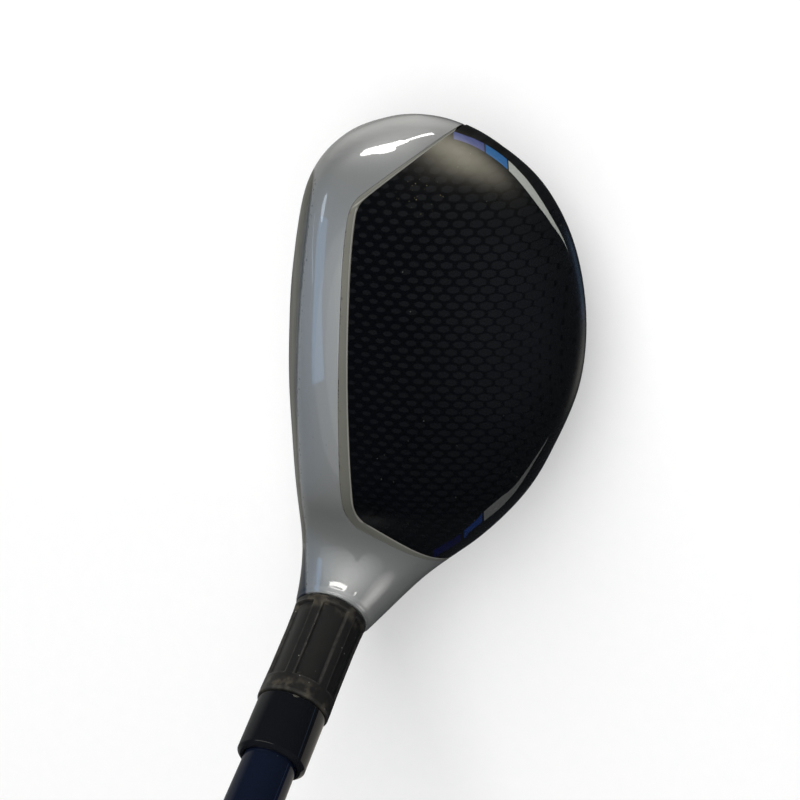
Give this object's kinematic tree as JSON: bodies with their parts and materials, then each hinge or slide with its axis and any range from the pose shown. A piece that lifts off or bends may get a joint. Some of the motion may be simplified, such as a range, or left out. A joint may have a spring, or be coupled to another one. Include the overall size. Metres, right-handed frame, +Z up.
{
  "type": "hybrid golf club",
  "caption": "Right-handed adjustable hybrid golf club: hollow lofted head, loft sleeve held by a sole screw, ferrule, tapered shaft and rubber grip.",
  "frame": {"origin": "on the ground at the flat rest patch in the middle of the sole, below the face centre", "axes": "+Z up, -Y towards the target (the face looks along -Y), +X towards the heel and the shaft, toe at -X; address position"},
  "size_m": [0.6359, 0.0607, 0.8729],
  "materials": {
    "silver_paint": "pearl silver gloss paint over cast steel",
    "brushed_face": "brushed bare steel",
    "crown_black": "near-black clear-coated composite with a fine hexagon pattern and accent stripes",
    "slot_polymer": "matt polymer",
    "weight_steel": "turned steel",
    "washer_nylon": "natural nylon",
    "screw_steel": "dark zinc-plated steel",
    "washer_steel": "plain steel",
    "retainer_rubber": "matt",
    "sleeve_anodised": "black anodised, lightly worn",
    "ferrule_gloss": "polished black",
    "shaft_navy": "dark navy clear-coated graphite",
    "plug_foam": "cork-coloured foam",
    "grip_rubber": "matt black rubber with a moulded tread",
    "tape_paper": "creped paper tape",
    "cap_rubber": "matt black rubber"
  },
  "bodies": {
    "shaft_assembly": {"loft_sleeve": "sleeve_anodised", "ferrule": "ferrule_gloss", "shaft": "shaft_navy", "tip_plug": "plug_foam", "grip": "grip_rubber", "grip_tape": "tape_paper", "grip_cap": "cap_rubber"},
    "washer": {"screw_washer": "washer_steel"},
    "head": {"body_casting": "silver_paint", "face_plate": "brushed_face", "crown_panel": "crown_black", "slot_insert": "slot_polymer"},
    "screw": {"sleeve_screw": "screw_steel", "screw_retainer": "retainer_rubber"},
    "weight_seat": {"weight_washer": "washer_nylon"},
    "weight": {"rear_weight": "weight_steel"}
  },
  "joints": [
    {"name": "head_withdraw", "type": "slide", "parent": "shaft_assembly", "child": "washer", "axis": [-0.5299, 0, -0.848], "range_m": [0, 0.008]},
    {"name": "loft_index", "type": "hinge", "parent": "washer", "child": "head", "pos_m": [0.032, -0.0057, 0], "axis": [0.5299, 0, 0.848], "continuous": true},
    {"name": "screw_turn", "type": "hinge", "parent": "washer", "child": "screw", "pos_m": [0.032, -0.0057, 0], "axis": [0.5299, 0, 0.848], "range_deg": [0, 3600]},
    {"name": "weight_withdraw", "type": "slide", "parent": "head", "child": "weight_seat", "axis": [0, 0.2419, -0.9703], "range_m": [0, 0.005]},
    {"name": "weight_turn", "type": "hinge", "parent": "weight_seat", "child": "weight", "pos_m": [-0.006, 0.024, 0.0023], "axis": [0, -0.2419, 0.9703], "range_deg": [0, 1800]}
  ],
  "couplings": [
    {"joint": "screw_turn", "follows": "head_withdraw", "rad_per_m": 7854},
    {"joint": "weight_turn", "follows": "weight_withdraw", "rad_per_m": 6283.2}
  ]
}
